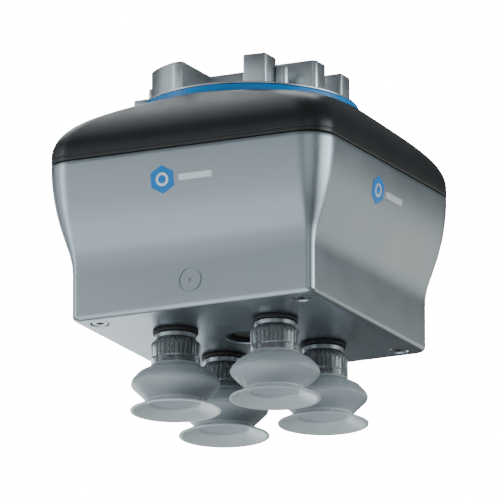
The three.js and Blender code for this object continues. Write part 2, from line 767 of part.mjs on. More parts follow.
function valveSpring(side) {
  const helix = new Helix(2.4, 4, -48.1, -41.4);
  return swept(helix, 0.35, 4, 32).translate(VALVE_X, side * CUP_OFFSET, 0);
}

// Silicone hose from a pump head to the valve of the same channel.
function suctionHose(side) {
  const start = PUMP_X + 5;
  const route = [
    [start, 30.4, PUMP_Z],
    [start, 32.6, PUMP_Z],
    [start + 3, 36, PUMP_Z + 1.4],
    [start + 8.5, 36, -35],
    [start + 13.5, 31, -31],
    [VALVE_X, CUP_OFFSET + 6.5, -29.2],
    [VALVE_X, CUP_OFFSET + 1.2, -29],
    [VALVE_X, CUP_OFFSET, -30.2],
    [VALVE_X, CUP_OFFSET, -31.6],
  ];
  const points = route.map(([x, y, z]) => new THREE.Vector3(x, side * y, z));
  return swept(new THREE.CatmullRomCurve3(points), 2, 7, 16);
}

// ---------- Assembly ----------

add("housing_shell", housingShell(), silver);
add("top_cover", topCover(), blackPlastic);
add("cover_gasket", coverGasket(), blackRubber);
add("accent_ring", ring(ACCENT_INNER, ACCENT_OUTER, ACCENT_BOTTOM_Z, ACCENT_TOP_Z, 40), blueAccent);
add("changer_plate", changerPlate(), machined);
add("contact_block", contactBlock(), blackPlastic);
add("contact_board", contactBoard(), brass);
QUARTERS.forEach((angle, index) => {
  const screw = add(`changer_screw_${index + 1}`, changerScrew(), steel);
  screw.position.set(CHANGER_SCREW_CIRCLE * Math.cos(angle), CHANGER_SCREW_CIRCLE * Math.sin(angle), 0);
});
add("chassis", chassis(), machined);

fourCorners((x, y, index) => {
  const screw = add(`corner_screw_${index + 1}`, tieScrew(), steel);
  screw.position.set(x * CORNER_HOLE, y * CORNER_HOLE, 0);
});

fourCorners((x, y, index) => {
  const pieces = [
    ["seal_washer", sealWasher(), blackRubber],
    ["cup_fitting", fitting(), machined],
    ["cup_bellows", cupBellows(), silicone],
    ["cup_lip", cupLip(), silicone],
    ["port_filter", filterDisc(), sintered],
  ];
  for (const [name, geometry, look] of pieces) {
    const mesh = add(`${name}_${index + 1}`, geometry, look);
    mesh.position.set(x * CUP_OFFSET, y * CUP_OFFSET, BASE_Z);
  }
});

add("vent_insert", ventInsert(), blackPlastic);
add("vent_filter", ventFilter(), sintered);
add("manifold_block", manifoldBlock(), machined);
add("main_board", mainBoard(), board);

add("motor_housing", motorHousing(), steel);
add("motor_rotor", motorRotor(), magnet);
add("motor_bearing_rear", bearing(MOTOR_REAR + 0.1), steel);
add("motor_bearing_front", bearing(MOTOR_FRONT - 2.5), steel);
add("crank_housing", crankHousing(), machined);
add("pump_rod_a", pumpRod(-1, 1.8, 5.6), greyPlastic);
add("pump_rod_b", pumpRod(1, 6.2, 10), greyPlastic);
for (const [channel, side] of [["a", -1], ["b", 1]]) {
  add(`pump_diaphragm_${channel}`, pumpDiaphragm(side), blackRubber);
  add(`pump_head_${channel}`, pumpHead(side), greyPlastic);
  add(`suction_hose_${channel}`, suctionHose(side), hose);
  add(`valve_body_${channel}`, valveBody(side), greyPlastic);
  add(`valve_plunger_${channel}`, valvePlunger(side), steel);
  add(`valve_spring_${channel}`, valveSpring(side), steel);
}

export default gripper;
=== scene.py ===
"""The look of the vacuum gripper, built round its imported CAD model.

Lengths in this file are millimetres until a mesh is made, except in the studio. The frame is the CAD's: Z = 0 is
the face of the tool changer, +Z points at the robot and -Y is the front. Most visible CAD nodes are replaced by a
finer piece of the same size; the others keep their CAD shape and only get a material.
"""

import json
import math

import bmesh
import bpy
from mathutils import Matrix, Vector

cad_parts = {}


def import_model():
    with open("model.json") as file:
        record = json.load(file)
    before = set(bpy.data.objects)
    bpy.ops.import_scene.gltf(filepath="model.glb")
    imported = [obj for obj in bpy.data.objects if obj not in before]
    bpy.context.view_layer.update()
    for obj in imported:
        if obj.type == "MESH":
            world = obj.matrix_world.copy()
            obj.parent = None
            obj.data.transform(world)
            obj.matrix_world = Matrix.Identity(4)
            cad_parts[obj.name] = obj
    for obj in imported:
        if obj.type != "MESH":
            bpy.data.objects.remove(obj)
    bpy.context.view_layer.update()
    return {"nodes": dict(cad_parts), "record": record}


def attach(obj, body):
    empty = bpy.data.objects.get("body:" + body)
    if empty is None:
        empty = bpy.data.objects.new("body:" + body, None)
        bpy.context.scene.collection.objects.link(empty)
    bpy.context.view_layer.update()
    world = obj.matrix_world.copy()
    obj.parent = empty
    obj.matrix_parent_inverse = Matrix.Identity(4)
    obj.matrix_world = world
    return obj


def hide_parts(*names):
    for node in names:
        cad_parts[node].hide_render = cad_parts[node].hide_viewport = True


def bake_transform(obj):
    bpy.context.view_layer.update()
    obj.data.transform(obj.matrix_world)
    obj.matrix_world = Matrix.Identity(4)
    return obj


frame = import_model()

MM = 0.001
ROOT = "gripper"

# ---------- Dimensions, in millimetres ----------

HOUSING_HALF = 50.0
BASE_HALF = 42.95
SEAM_CORNER = 10.0
BASE_CORNER = 2.6
SEAM_Z = -24.4
BASE_Z = -75.6
BASE_ROUND = 1.7
WALL = 2.5
BASE_THICK = 4.0
CONVEX_RADIUS = 68.3
CONVEX_HEIGHT = 22.0
SLOPE_HEIGHT = 6.0
CONCAVE_RADIUS = 24.8
CONCAVE_HEIGHT = 8.0

COVER_FOOT_Z = SEAM_Z + 0.3
COVER_WALL = 3.0
COVER_TOP_Z = -3.65
COVER_TOP_RADIUS = 37.9
COVER_HOLE = 28.3

CHANGER_BOTTOM_Z = -3.35
CHANGER_RADIUS = 34.0
CHANGER_FLANGE_RADIUS = 35.1
CHANGER_FLANGE_Z = -0.55
ACCENT_INNER = 34.3
ACCENT_OUTER = 35.5
ACCENT_TOP_Z = -0.85
DOG_FOOT_Z = -0.3  # the dogs start inside the disc
DOG_HEIGHT = 10.0
DOG_RADIUS = 32.7
DOG_INNER = 25.5
HOOK_FOOT_Z = 4.5
GUIDE_PIN = {"radius": 2.2, "top": 7, "at": (21.1, -19.6)}
CHANGER_SCREW_CIRCLE = 24.5
CONTACT_Y = 7.0
CONTACT_XS = [(i - 3.5) * 2.9 for i in range(8)]

CORNER_HOLE = 35.7
CUP_OFFSET = 25.0 / math.sqrt(2)
CORNERS = [(-1, -1), (1, -1), (1, 1), (-1, 1)]  # pieces 1 to 4, in this order
PORT_RADIUS = 5.15
SCREW_HEAD_Z = BASE_Z + 0.2

# Cup stations, with depths below the housing
FLANGE_BOTTOM = -3.05
NIPPLE_RADIUS = 5.9
RIBS = 26
RIB_HEIGHT = 0.25
RIBS_TOP = -4.0
NECK_END = -11.2
LIP_START = -23.4

# Engraved signs and badges, with drops below the seam
MARK = {"drop": 42.4, "inner": 3.6, "outer": 4.05, "depth": 0.35, "dot": 0.6, "shift": 1.3}
BASE_LINE = {"half": 3.7, "width": 0.6, "depth": 0.4, "y": 16.0}
BADGE_Z = -10.0
BADGE_RADIUS = 4.6
BADGE_RING = 2.2
BADGE_CENTRE = 1.35
BADGE_BAR = {"start": 5.8, "end": 17.6, "half": 1.0}

SMOOTH = 96  # segments of a large round piece
SMOOTH_ANGLE = 32.0  # sharper edges than this stay sharp


# ---------- Meshes ----------


def linked(name, data):
    """A new object in the scene."""
    obj = bpy.data.objects.new(name, data)
    bpy.context.scene.collection.objects.link(obj)
    return obj


def shaded(mesh, angle=SMOOTH_ANGLE):
    mesh.shade_smooth()
    mesh.set_sharp_from_angle(angle=math.radians(angle))


def mesh_object(name, vertices, faces):
    """A mesh object from points in millimetres, with its faces turned outwards and sharp edges kept."""
    mesh = bpy.data.meshes.new(name)
    mesh.from_pydata([tuple(c * MM for c in v) for v in vertices], [], faces)
    obj = linked(name, mesh)
    clean(obj)
    return obj


def clean(obj):
    """Removes doubled points and empty faces, and turns the faces outwards."""
    work = bmesh.new()
    work.from_mesh(obj.data)
    bmesh.ops.remove_doubles(work, verts=work.verts, dist=1e-6)
    bmesh.ops.dissolve_degenerate(work, edges=work.edges, dist=1e-6)
    bmesh.ops.recalc_face_normals(work, faces=work.faces)
    work.to_mesh(obj.data)
    work.free()
    shaded(obj.data)
    obj.data.update()


def bake(obj):
    """Applies the object's modifiers."""
    graph = bpy.context.evaluated_depsgraph_get()
    made = bpy.data.meshes.new_from_object(obj.evaluated_get(graph))
    old = obj.data
    obj.modifiers.clear()
    obj.data = made
    bpy.data.meshes.remove(old)
    clean(obj)


def bevelled(obj, width):
    modifier = obj.modifiers.new("bevel", "BEVEL")
    modifier.width = width * MM
    modifier.segments = 3
    modifier.limit_method = "ANGLE"
    modifier.angle_limit = math.radians(30)
    bake(obj)
    return obj


def cut(obj, tools):
    """Cuts the tools from obj and removes them."""
    for tool in tools:
        modifier = obj.modifiers.new("cut", "BOOLEAN")
        modifier.object = tool
        modifier.operation = "DIFFERENCE"
        modifier.solver = "EXACT"
    bake(obj)
    for tool in tools:
        bpy.data.objects.remove(tool)


def merged(name, objs):
    """One mesh from several, which may pass through each other."""
    work = bmesh.new()
    for obj in objs:
        mesh = obj.data
        mesh.transform(obj.matrix_world)
        work.from_mesh(mesh)
        bpy.data.objects.remove(obj)
    mesh = bpy.data.meshes.new(name)
    work.to_mesh(mesh)
    work.free()
    made = linked(name, mesh)
    shaded(mesh)
    return made


def lathe(name, profile, segments=SMOOTH, at=(0, 0, 0), ribs=None):
    """Turned shape about +Z from points (radius, z). ribs(radius, z, angle) may change the radius."""
    vertices, rows = [], []
    for radius, z in profile:
        if radius < 1e-6:
            vertices.append((at[0], at[1], z + at[2]))
            rows.append([len(vertices) - 1] * segments)
            continue
        row = []
        for i in range(segments):
            angle = 2 * math.pi * i / segments
            r = ribs(radius, z, angle) if ribs else radius
            vertices.append((at[0] + r * math.cos(angle), at[1] + r * math.sin(angle), z + at[2]))
            row.append(len(vertices) - 1)
        rows.append(row)
    faces = []
    for low, high in zip(rows, rows[1:]):
        for i in range(segments):
            j = (i + 1) % segments
            face = list(dict.fromkeys([low[i], low[j], high[j], high[i]]))
            if len(face) > 2:
                faces.append(face)
    return mesh_object(name, vertices, faces)


def filleted(profile, radii, steps=5):
    """The profile with its inner corners rounded; radii has one entry per point, 0 for a sharp one."""
    points = []
    for i, (point, radius) in enumerate(zip(profile, radii)):
        if radius <= 0 or i in (0, len(profile) - 1):
            points.append(point)
            continue
        here = Vector(point)
        back = (Vector(profile[i - 1]) - here).normalized()
        ahead = (Vector(profile[i + 1]) - here).normalized()
        half = back.angle(ahead) / 2
        reach = radius / math.tan(half)
        start, end = here + back * reach, here + ahead * reach
        for k in range(steps + 1):
            t = k / steps
            curve = start * (1 - t) ** 2 + here * 2 * t * (1 - t) + end * t**2
            points.append((curve.x, curve.y))
    return points


def rounded_square(half, corner, z, steps=14):
    """One level of a loft: a square with round corners."""
    radius = min(corner, half)
    points = []
    for quarter in range(4):
        middle = math.pi / 4 + quarter * math.pi / 2
        cx = math.copysign(half - radius, math.cos(middle))
        cy = math.copysign(half - radius, math.sin(middle))
        for i in range(steps + 1):
            angle = (quarter + i / steps) * math.pi / 2
            points.append((cx + radius * math.cos(angle), cy + radius * math.sin(angle), z))
    return points


def loft(name, levels):
    """Skin through levels of equal length, with both ends capped."""
    count = len(levels[0])
    vertices = [point for level in levels for point in level]
    faces = []
    for low in range(0, (len(levels) - 1) * count, count):
        for i in range(count):
            j = (i + 1) % count
            faces.append((low + i, low + j, low + count + j, low + count + i))
    faces.append(tuple(reversed(range(count))))
    faces.append(tuple(range((len(levels) - 1) * count, len(levels) * count)))
    return mesh_object(name, vertices, faces)


def prism(name, outline, low, high):
    """A flat outline between two heights."""
    count = len(outline)
    vertices = [(x, y, z) for z in (low, high) for x, y in outline]
    faces = [(i, (i + 1) % count, count + (i + 1) % count, count + i) for i in range(count)]
    faces.append(tuple(reversed(range(count))))
    faces.append(tuple(range(count, 2 * count)))
    return mesh_object(name, vertices, faces)


def box(name, x0, x1, y0, y1, z0, z1):
    return prism(name, [(x0, y0), (x1, y0), (x1, y1), (x0, y1)], z0, z1)


def cylinder(name, radius, low, high, at=(0, 0), segments=48):
    return lathe(name, [(0, low), (radius, low), (radius, high), (0, high)], segments, (*at, 0))


def arc(radius, from_degrees, to_degrees, steps):
    span = to_degrees - from_degrees
    angles = [math.radians(from_degrees + span * i / steps) for i in range(steps + 1)]
    return [(radius * math.cos(a), radius * math.sin(a)) for a in angles]


# ---------- Materials ----------


class Look:
    """A Principled material whose textures are laid in the part's own frame, in metres."""

    def __init__(self, name, colour, roughness, metallic=0.0, **sockets):
        self.material = bpy.data.materials.new(name)
        self.material.use_nodes = True
        self.tree = self.material.node_tree
        self.shader = self.tree.nodes["Principled BSDF"]
        self.colour = colour
        self.roughness = roughness
        self.shader.inputs["Base Color"].default_value = (*colour, 1.0)
        self.shader.inputs["Roughness"].default_value = roughness
        self.shader.inputs["Metallic"].default_value = metallic
        for socket, value in sockets.items():
            self.shader.inputs[socket.replace("_", " ")].default_value = value
        self.height = None

    def node(self, kind, **settings):
        made = self.tree.nodes.new(kind)
        for key, value in settings.items():
            setattr(made, key, value)
        return made

    def link(self, source, target):
        self.tree.links.new(source, target)

    def place(self, stretch=(1, 1, 1)):
        coordinates = self.node("ShaderNodeTexCoord")
        mapping = self.node("ShaderNodeMapping")
        mapping.inputs["Scale"].default_value = stretch
        self.link(coordinates.outputs["Object"], mapping.inputs["Vector"])
        return mapping.outputs["Vector"]

    def noise(self, size, detail=3.0, stretch=(1, 1, 1)):
        """Noise whose blotches are about size millimetres across."""
        made = self.node("ShaderNodeTexNoise")
        made.inputs["Scale"].default_value = 1 / (size * MM)
        made.inputs["Detail"].default_value = detail
        self.link(self.place(stretch), made.inputs["Vector"])
        return made.outputs["Fac"]

    def wave(self, pitch, distortion, **settings):
        """Waves that repeat every pitch millimetres; the node runs through 20 radians in a unit."""
        made = self.node("ShaderNodeTexWave", **settings)
        made.inputs["Scale"].default_value = 2 * math.pi / (20 * pitch * MM)
        made.inputs["Distortion"].default_value = distortion
        self.link(self.place(), made.inputs["Vector"])
        return made.outputs["Fac"]

    def rings(self, pitch):
        """Fine circles about the Z axis, as a lathe leaves them."""
        return self.wave(pitch, 0.6, wave_type="RINGS", rings_direction="Z")

    def bands(self, pitch):
        """Faint steps at even heights."""
        return self.wave(pitch, 0.4, wave_type="BANDS", bands_direction="Z")

    def spread(self, factor, low, high):
        """The middle of the noise stretched over the range from low to high."""
        made = self.node("ShaderNodeMapRange")
        made.inputs["From Min"].default_value = 0.3
        made.inputs["From Max"].default_value = 0.7
        made.inputs["To Min"].default_value = low
        made.inputs["To Max"].default_value = high
        self.link(factor, made.inputs["Value"])
        return made.outputs["Result"]

    def mottled(self, factor, amount):
        """Roughness varies by amount either way."""
        varied = self.spread(factor, self.roughness - amount, self.roughness + amount)
        self.link(varied, self.shader.inputs["Roughness"])
        return self

    def tinted(self, factor, other):
        """Colour runs between the base colour and the other one."""
        mix = self.node("ShaderNodeMix", data_type="RGBA")
        mix.inputs["A"].default_value = (*self.colour, 1.0)
        mix.inputs["B"].default_value = (*other, 1.0)
        self.link(self.spread(factor, 0.0, 1.0), mix.inputs["Factor"])
        self.link(mix.outputs["Result"], self.shader.inputs["Base Color"])
        return self

    def bumped(self, factor, depth, strength=1.0):
        """Adds relief of about depth millimetres."""
        made = self.node("ShaderNodeBump")
        made.inputs["Strength"].default_value = strength
        made.inputs["Distance"].default_value = depth * MM
        self.link(factor, made.inputs["Height"])
        if self.height:
            self.link(self.height, made.inputs["Normal"])
        self.height = made.outputs["Normal"]
        self.link(self.height, self.shader.inputs["Normal"])
        return self


def housing_metal():
    look = Look("housing_metal", (0.41, 0.46, 0.495), 0.36, 1.0)
    look.mottled(look.noise(9.0), 0.02)
    look.tinted(look.noise(26.0, 2.0), (0.39, 0.44, 0.48))
    return look.bumped(look.noise(0.28, 2.0), 0.012, 0.35)


def cover_plastic():
    look = Look("cover_plastic", (0.014, 0.015, 0.017), 0.37, Specular_IOR_Level=0.5)
    look.mottled(look.noise(7.0), 0.03)
    look.tinted(look.noise(18.0), (0.018, 0.02, 0.022))
    return look.bumped(look.noise(0.35, 2.0), 0.02, 0.4)


def black_insulator():
    look = Look("black_insulator", (0.016, 0.016, 0.017), 0.5)
    look.mottled(look.noise(3.0), 0.05)
    return look.bumped(look.noise(0.3), 0.02, 0.5)


def seal_rubber():
    look = Look("seal_rubber", (0.012, 0.012, 0.012), 0.62)
    look.mottled(look.noise(2.0), 0.08)
    look.tinted(look.noise(5.0), (0.022, 0.022, 0.021))
    return look.bumped(look.noise(0.25), 0.02, 0.6)


def blue_ring():
    look = Look("blue_ring", (0.004, 0.28, 0.8), 0.34)
    look.mottled(look.noise(4.0), 0.04)
    look.tinted(look.noise(11.0), (0.006, 0.31, 0.84))
    return look.bumped(look.noise(0.3), 0.015, 0.4)


def machined_aluminium():
    look = Look("machined_aluminium", (0.56, 0.585, 0.6), 0.3, 1.0)
    look.mottled(look.noise(5.0), 0.05)
    look.tinted(look.noise(14.0), (0.5, 0.53, 0.55))
    look.bumped(look.rings(0.32), 0.008, 0.35)
    return look.bumped(look.noise(0.22), 0.01, 0.35)


def milled_aluminium():
    look = Look("milled_aluminium", (0.6, 0.64, 0.67), 0.34, 1.0)
    look.mottled(look.noise(5.0), 0.03)
    look.tinted(look.noise(14.0), (0.56, 0.6, 0.63))
    return look.bumped(look.noise(0.5), 0.006, 0.3)


def contact_brass():
    look = Look("contact_brass", (0.86, 0.62, 0.24), 0.22, 1.0)
    look.mottled(look.noise(1.5), 0.06)
    return look.bumped(look.noise(0.2), 0.01, 0.3)


def sintered_filter():
    look = Look("sintered_filter", (0.2, 0.21, 0.21), 0.6, 0.7)
    look.tinted(look.noise(0.5, 2.0), (0.09, 0.095, 0.1))
    look.mottled(look.noise(0.6), 0.1)
    return look.bumped(look.noise(0.45, 2.0), 0.12, 0.9)


def circuit_board():
    look = Look("circuit_board", (0.01, 0.09, 0.04), 0.4)
    look.tinted(look.noise(1.8, 0.0, (1, 0.25, 1)), (0.03, 0.16, 0.07))
    look.mottled(look.noise(2.5), 0.08)
    return look.bumped(look.noise(1.2, 1.0), 0.03, 0.4)


def plain_steel():
    look = Look("plain_steel", (0.5, 0.505, 0.51), 0.3, 1.0)
    look.mottled(look.noise(2.0), 0.08)
    look.tinted(look.noise(6.0), (0.43, 0.435, 0.445))
    return look.bumped(look.noise(0.4), 0.01, 0.4)


def grey_plastic():
    look = Look("grey_plastic", (0.07, 0.075, 0.08), 0.45)
    look.mottled(look.noise(3.0), 0.06)
    return look.bumped(look.noise(0.4), 0.02, 0.5)


def hose_silicone():
    look = Look("hose_silicone", (0.72, 0.75, 0.74), 0.4, Transmission_Weight=0.3)
    look.mottled(look.noise(2.5), 0.05)
    return look.bumped(look.noise(0.8), 0.02, 0.3)


def cup_silicone(name, colour, painted_glow=0.0):
    """Cloudy silicone. Any glow given is painted light: an emission that stands in for the light which the thin
    wall lets into the cup.
    """
    look = Look(
        name,
        colour,
        0.24,
        Subsurface_Weight=0.08,
        Subsurface_Radius=(1.0, 1.0, 1.0),
        Subsurface_Scale=0.001,
        IOR=1.41,
        Emission_Color=(*colour, 1.0),
        Emission_Strength=painted_glow,
    )
    look.mottled(look.noise(3.0), 0.05)
    look.tinted(look.noise(6.0), tuple(0.93 * c for c in colour))
    look.bumped(look.bands(1.1), 0.03, 0.35)
    return look.bumped(look.noise(1.2, 2.0), 0.02, 0.25)


def neck_silicone():
    """The thin neck, clear enough to show the fitting inside it."""
    look = Look("neck_silicone", (0.86, 0.9, 0.92), 0.12, Transmission_Weight=0.92, IOR=1.41)
    look.mottled(look.noise(3.0), 0.04)
    return look.bumped(look.noise(1.6, 2.0), 0.03, 0.3)


def dark_nipple():
    look = Look("dark_nipple", (0.07, 0.074, 0.078), 0.3, 1.0)
    look.mottled(look.noise(2.0), 0.06)
    return look.bumped(look.noise(0.3), 0.01, 0.4)


def badge_print(name, colour, metallic=0.0):
    look = Look(name, colour, 0.38, metallic)
    look.mottled(look.noise(1.5), 0.05)
    return look.bumped(look.noise(0.25), 0.008, 0.4)


LOOKS = {
    "aluminium_housing": housing_metal(),
    "black_cover": cover_plastic(),
    "seal_rubber": seal_rubber(),
    "blue_ring": blue_ring(),
    "machined_aluminium": machined_aluminium(),
    "black_insulator": black_insulator(),
    "contact_brass": contact_brass(),
    "sintered_filter": sintered_filter(),
    "circuit_board": circuit_board(),
    "steel": plain_steel(),
    "cup_silicone": cup_silicone("cup_silicone", (0.44, 0.48, 0.51)),
    "grey_plastic": grey_plastic(),
    "hose_silicone": hose_silicone(),
}
MILLED = milled_aluminium()
NECK = neck_silicone()
LIP = cup_silicone("lip_silicone", (0.64, 0.69, 0.715))
# The inside of the fold: a paler copy of the cup silicone that glows, painted light for the light let in through
# the thin wall.
CUP_INSIDE_PAINTED_LIGHT = cup_silicone("cup_inside_painted_light", (0.8, 0.85, 0.88), 0.09)
NIPPLE = dark_nipple()
BADGE_BLUE = badge_print("badge_blue", (0.003, 0.24, 0.72))
BADGE_GREY = badge_print("badge_grey", (0.84, 0.87, 0.89), 1.0)


def dress(obj, slot, look=None):
    """Gives a piece the material of its slot, or the look given."""
    obj.data.materials.clear()
    obj.data.materials.append((look or LOOKS[slot]).material)
    return obj


def placed(obj, slot, *nodes, look=None):
    """A finished piece that rides on the gripper's body in place of the CAD nodes."""
    dress(obj, slot, look)
    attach(obj, ROOT)
    if nodes:
        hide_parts(*nodes)
    return obj


# ---------- Housing ----------


def sag(radius, height):
    return radius - math.sqrt(radius**2 - height**2)


def side_half(drop):
    """Half width of the side wall, from its drop below the seam."""
    slope = CONVEX_HEIGHT / math.sqrt(CONVEX_RADIUS**2 - CONVEX_HEIGHT**2)
    left = CONVEX_HEIGHT + SLOPE_HEIGHT + CONCAVE_HEIGHT - drop
    if left >= CONCAVE_HEIGHT:
        straight = max(drop - CONVEX_HEIGHT, 0)
        return HOUSING_HALF - sag(CONVEX_RADIUS, min(drop, CONVEX_HEIGHT)) - slope * straight
    return BASE_HALF + sag(CONCAVE_RADIUS, max(left, 0))


def side_corner(half):
    """The plan corners tighten as the walls come in."""
    share = min((HOUSING_HALF - half) / (HOUSING_HALF - BASE_HALF), 1)
    return SEAM_CORNER + (BASE_CORNER - SEAM_CORNER) * share


def side_levels(inset, corner_steps, drops):
    levels = []
    for drop in drops:
        half = side_half(drop)
        corner = max(side_corner(half) - inset, 1)
        levels.append(rounded_square(half - inset, corner, SEAM_Z - drop, corner_steps))
    return levels


def housing_outside():
    steps = 6
    levels = []
    for i in range(steps + 1):
        angle = i / steps * math.pi / 2
        half = BASE_HALF - BASE_ROUND * (1 - math.sin(angle))
        z = BASE_Z + BASE_ROUND * (1 - math.cos(angle))
        levels.append(rounded_square(half, BASE_CORNER, z))
    levels += side_levels(0, 14, [drop * 1.5 for drop in range(24, 0, -1)])
    levels.append(rounded_square(HOUSING_HALF, SEAM_CORNER, SEAM_Z - 0.35))
    levels.append(rounded_square(HOUSING_HALF - 0.1, SEAM_CORNER, SEAM_Z - 0.1))
    levels.append(rounded_square(HOUSING_HALF - 0.35, SEAM_CORNER, SEAM_Z))
    return loft("housing", levels)


def channel_mark(side, dots):
    """Cutters for an engraved sign on the lower wall: a circle round one dot for A and two for B."""
    inner, outer, depth = MARK["inner"], MARK["outer"], MARK["depth"]
    circle = [(inner, -depth), (outer, -depth), (outer, 1), (inner, 1), (inner, -depth)]
    parts = [lathe("mark", circle, 64)]
    offsets = [0.0] if dots == 1 else [-MARK["shift"], MARK["shift"]]
    for offset in offsets:
        parts.append(cylinder("mark", MARK["dot"], -depth, 1, (offset, 0), 32))
    turn = Matrix.Rotation(math.radians(90), 4, "X")
    if side > 0:
        turn = Matrix.Rotation(math.pi, 4, "Z") @ turn
    centre = Matrix.Translation((0, side * BASE_HALF * MM, (SEAM_Z - MARK["drop"]) * MM))
    for part in parts:
        part.matrix_world = centre @ turn
    return parts


def housing():
    shell = housing_outside()
    inside = [rounded_square(BASE_HALF - WALL, 1, BASE_Z + BASE_THICK, 3)]
    inside += side_levels(WALL, 3, [36, 34, 32, 30, 28, 25, 22, 17, 12, 6, -1])
    cutters = [loft("inside", inside)]
    for x, y in CORNERS:
        at = (x * CUP_OFFSET, y * CUP_OFFSET)
        cutters.append(cylinder("port", PORT_RADIUS, BASE_Z - 1, BASE_Z + BASE_THICK + 1, at))
        hole = [(0, -1), (3.35, -1), (3.35, 0), (3.0, 0.35), (3.0, 2), (1.8, 2), (1.8, 5), (0, 5)]
        cutters.append(lathe("screw_hole", hole, 48, (x * CORNER_HOLE, y * CORNER_HOLE, BASE_Z)))
    vent = [(0, -1), (7.85, -1), (7.85, 0), (7.5, 0.35), (7.5, 3.2), (4, 3.2), (4, 5), (0, 5)]
    cutters.append(lathe("vent", vent, 72, (0, 0, BASE_Z)))
    half, reach = BASE_LINE["half"], BASE_LINE["width"] / 2
    for side, dots in ((-1, 1), (1, 2)):
        y = side * BASE_LINE["y"]
        top = BASE_Z + BASE_LINE["depth"]
        cutters.append(box("line", -half, half, y - reach, y + reach, BASE_Z - 1, top))
        cutters += channel_mark(side, dots)
    cut(shell, cutters)
    shell.name = "housing"
    placed(shell, "aluminium_housing", "housing_shell")


# ---------- Cover ----------


def dome(inset, steps, corner_steps):
    """Levels of the cover above its upright band, set in by a wall thickness."""
    top = (COVER_TOP_RADIUS, COVER_TOP_Z)
    p = [Vector(c) for c in ((HOUSING_HALF, -21.4), (HOUSING_HALF, -13.9), (42.9, -8.95), top)]
    levels = []
    for i in range(steps + 1):
        t = i / steps
        s = 1 - t
        half, z = p[0] * s**3 + p[1] * 3 * s * s * t + p[2] * 3 * s * t * t + p[3] * t**3
        corner = half * (0.2 + 0.8 * t**4.8)
        levels.append(rounded_square(half - inset, max(corner - inset, 2), z - inset * t, corner_steps))
    return levels


def cover():
    band = [(49.65, 0), (49.9, 0.08), (50, 0.3), (50, 1.15), (49.85, 1.3), (49.85, 1.5), (50, 1.65)]
    inset = HOUSING_HALF - SEAM_CORNER
    foot = [rounded_square(half, half - inset, COVER_FOOT_Z + z) for half, z in band]
    body = loft("cover", foot + dome(0, 34, 14))
    inner = HOUSING_HALF - COVER_WALL
    inner_foot = rounded_square(inner, SEAM_CORNER - COVER_WALL, COVER_FOOT_Z - 1, 3)
    inside = loft("inside", [inner_foot, *dome(COVER_WALL, 10, 3)])
    hole = cylinder("hole", COVER_HOLE, COVER_TOP_Z - 8, COVER_TOP_Z + 2, segments=SMOOTH)
    cut(body, [inside, hole])
    placed(body, "black_cover", "top_cover")


def accent_ring():
    inner, outer, low, high = ACCENT_INNER, ACCENT_OUTER, CHANGER_BOTTOM_Z, ACCENT_TOP_Z
    profile = [(inner, low), (outer, low), (outer, high), (inner, high), (inner, low)]
    ring = lathe("accent_ring", filleted(profile, [0, 0.1, 0.25, 0.1, 0], 4), 192)
    placed(ring, "blue_ring", "accent_ring")


# ---------- Quick changer ----------


def dogs():
    """The castellated blocks on the changer plate, as (outline, bottom, top)."""
    curve = arc(DOG_RADIUS, 222, 248, 20)
    tall = [
        [(-9.2, -10), (-24.3, -10), (-24.3, -21.8), *curve, (-9.2, -30.3)],
        [(-24.3, -10.6), (16, -10.6), (16, -6.6), (-24.3, -6.6)],
        [(14.5, -13.8), (29, -13.8), (30.2, -12.6), (30.2, -6.2), (14.5, -6.2)],
        [(24.2, 4.4), (30.6, 4.4), (30.6, 11.2), (24.2, 11.2)],
        [(11.6, -29.1), (19.5, -28.5), (19.5, -20.2), (11.6, -20.2)],
    ]
    step = [(15, -20.4), (18, -20.4), (18, -13.6), (15, -13.6)]
    left = [(-33.6, -5.6), (-29.4, -5.6), (-29.4, 9.4), (-33.6, 9.4)]
    hook = [(-44, 4.6), (-32, 4.6), (-32, 9.4), (-44, 9.4)]
    rear = [arc(DOG_RADIUS, a, b, 24) + arc(DOG_INNER, b, a, 20) for a, b in ((35, 68), (112, 146))]
    return [
        *[(outline, DOG_FOOT_Z, DOG_HEIGHT) for outline in tall],
        (step, DOG_FOOT_Z, DOG_HEIGHT / 2),
        (left, DOG_FOOT_Z, DOG_HEIGHT),
        (hook, HOOK_FOOT_Z, DOG_HEIGHT),
        *[(outline, DOG_FOOT_Z, DOG_HEIGHT) for outline in rear],
    ]


def changer_screw_places():
    angles = [quarter * math.pi / 2 for quarter in range(4)]
    circle = CHANGER_SCREW_CIRCLE
    return [(circle * math.cos(angle), circle * math.sin(angle), 0) for angle in angles]


def changer():
    low, step = CHANGER_BOTTOM_Z, CHANGER_FLANGE_Z
    rim = [(CHANGER_RADIUS, low), (CHANGER_RADIUS, step), (CHANGER_FLANGE_RADIUS, step)]
    profile = [(0, low), *rim, (CHANGER_FLANGE_RADIUS, 0), (0, 0)]
    disc = lathe("changer", filleted(profile, [0, 0.1, 0.1, 0.12, 0.15, 0], 3), 192)
    cutters = [box("window", -13.4, 13.4, CONTACT_Y - 4.8, CONTACT_Y + 4.8, -4, 2)]
    sink = [(0, -4), (1.8, -4), (1.8, -2.6), (4.05, -0.1), (4.05, 1), (0, 1)]
    cutters += [lathe("sink", sink, 48, at) for at in changer_screw_places()]
    cut(disc, cutters)
    pieces = [disc]
    pieces += [bevelled(prism("dog", outline, bottom, top), 0.7) for outline, bottom, top in dogs()]
    pin = cylinder("pin", GUIDE_PIN["radius"], DOG_FOOT_Z, GUIDE_PIN["top"], GUIDE_PIN["at"])
    pieces.append(bevelled(pin, 0.5))
    placed(merged("changer", pieces), "machined_aluminium", "changer_plate", look=MILLED)


def socket_cutter(at, radius, low, high):
    return lathe("socket", [(0, low), (radius, low), (radius, high), (0, high)], 6, at)


